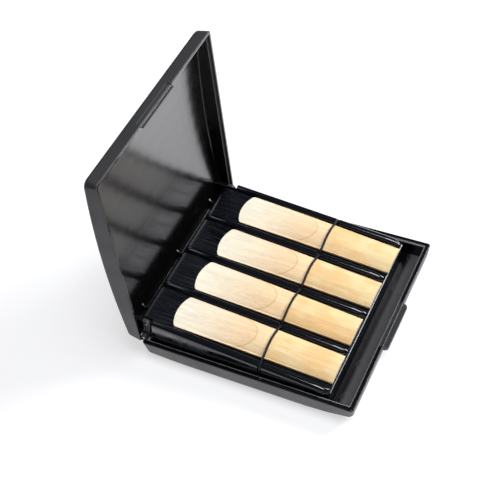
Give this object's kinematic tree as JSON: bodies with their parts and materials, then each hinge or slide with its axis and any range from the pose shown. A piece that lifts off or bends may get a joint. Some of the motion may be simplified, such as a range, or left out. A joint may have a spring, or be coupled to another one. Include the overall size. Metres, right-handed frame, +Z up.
{
  "type": "reed case",
  "caption": "Hinged snap case for woodwind reeds, with a slotted tray that lifts as the lid opens and an elastic cord across the reeds.",
  "frame": {"origin": "middle of the flat underside that the case rests on", "axes": "+Z up; the thumb ledge faces -Y; the lid's hinge runs along X at +Y"},
  "size_m": [0.0914, 0.1055, 0.1066],
  "materials": {
    "shell_plastic": "fine moulded texture outside, smooth inside",
    "tray_plastic": "glossy black",
    "cane": "bare cane, bark left on towards the butt",
    "elastic": "woven over rubber",
    "pin_steel": "bright"
  },
  "bodies": {
    "base": {"base_shell": "shell_plastic", "hinge_pin_left": "pin_steel", "hinge_pin_right": "pin_steel"},
    "lid": {"lid_shell": "shell_plastic"},
    "tray": {"reed_tray": "tray_plastic", "tray_pin_left": "pin_steel", "tray_pin_right": "pin_steel", "elastic_cord": "elastic"},
    "reed_1": {"reed_1": "cane"},
    "reed_2": {"reed_2": "cane"},
    "reed_3": {"reed_3": "cane"},
    "reed_4": {"reed_4": "cane"}
  },
  "joints": [
    {"name": "lid_hinge", "type": "hinge", "parent": "base", "child": "lid", "pos_m": [0, 0.04775, 0.01115], "axis": [-1, 0, 0], "range_deg": [-88.4, 0]},
    {"name": "tray_pivot", "type": "hinge", "parent": "lid", "child": "tray", "pos_m": [0, 0.04619, 0.01881], "axis": [-1, 0, 0], "range_deg": [0, 94.63]},
    {"name": "reed_1_slide", "type": "slide", "parent": "tray", "child": "reed_1", "axis": [0, -0.9941, -0.1085], "range_m": [-0.008, 0.0018]},
    {"name": "reed_2_slide", "type": "slide", "parent": "tray", "child": "reed_2", "axis": [0, -0.9941, -0.1085], "range_m": [-0.008, 0.0018]},
    {"name": "reed_3_slide", "type": "slide", "parent": "tray", "child": "reed_3", "axis": [0, -0.9941, -0.1085], "range_m": [-0.008, 0.0018]},
    {"name": "reed_4_slide", "type": "slide", "parent": "tray", "child": "reed_4", "axis": [0, -0.9941, -0.1085], "range_m": [-0.008, 0.0018]}
  ],
  "couplings": [
    {"joint": "tray_pivot", "follows": "lid_hinge", "ratio": -1.0704}
  ]
}
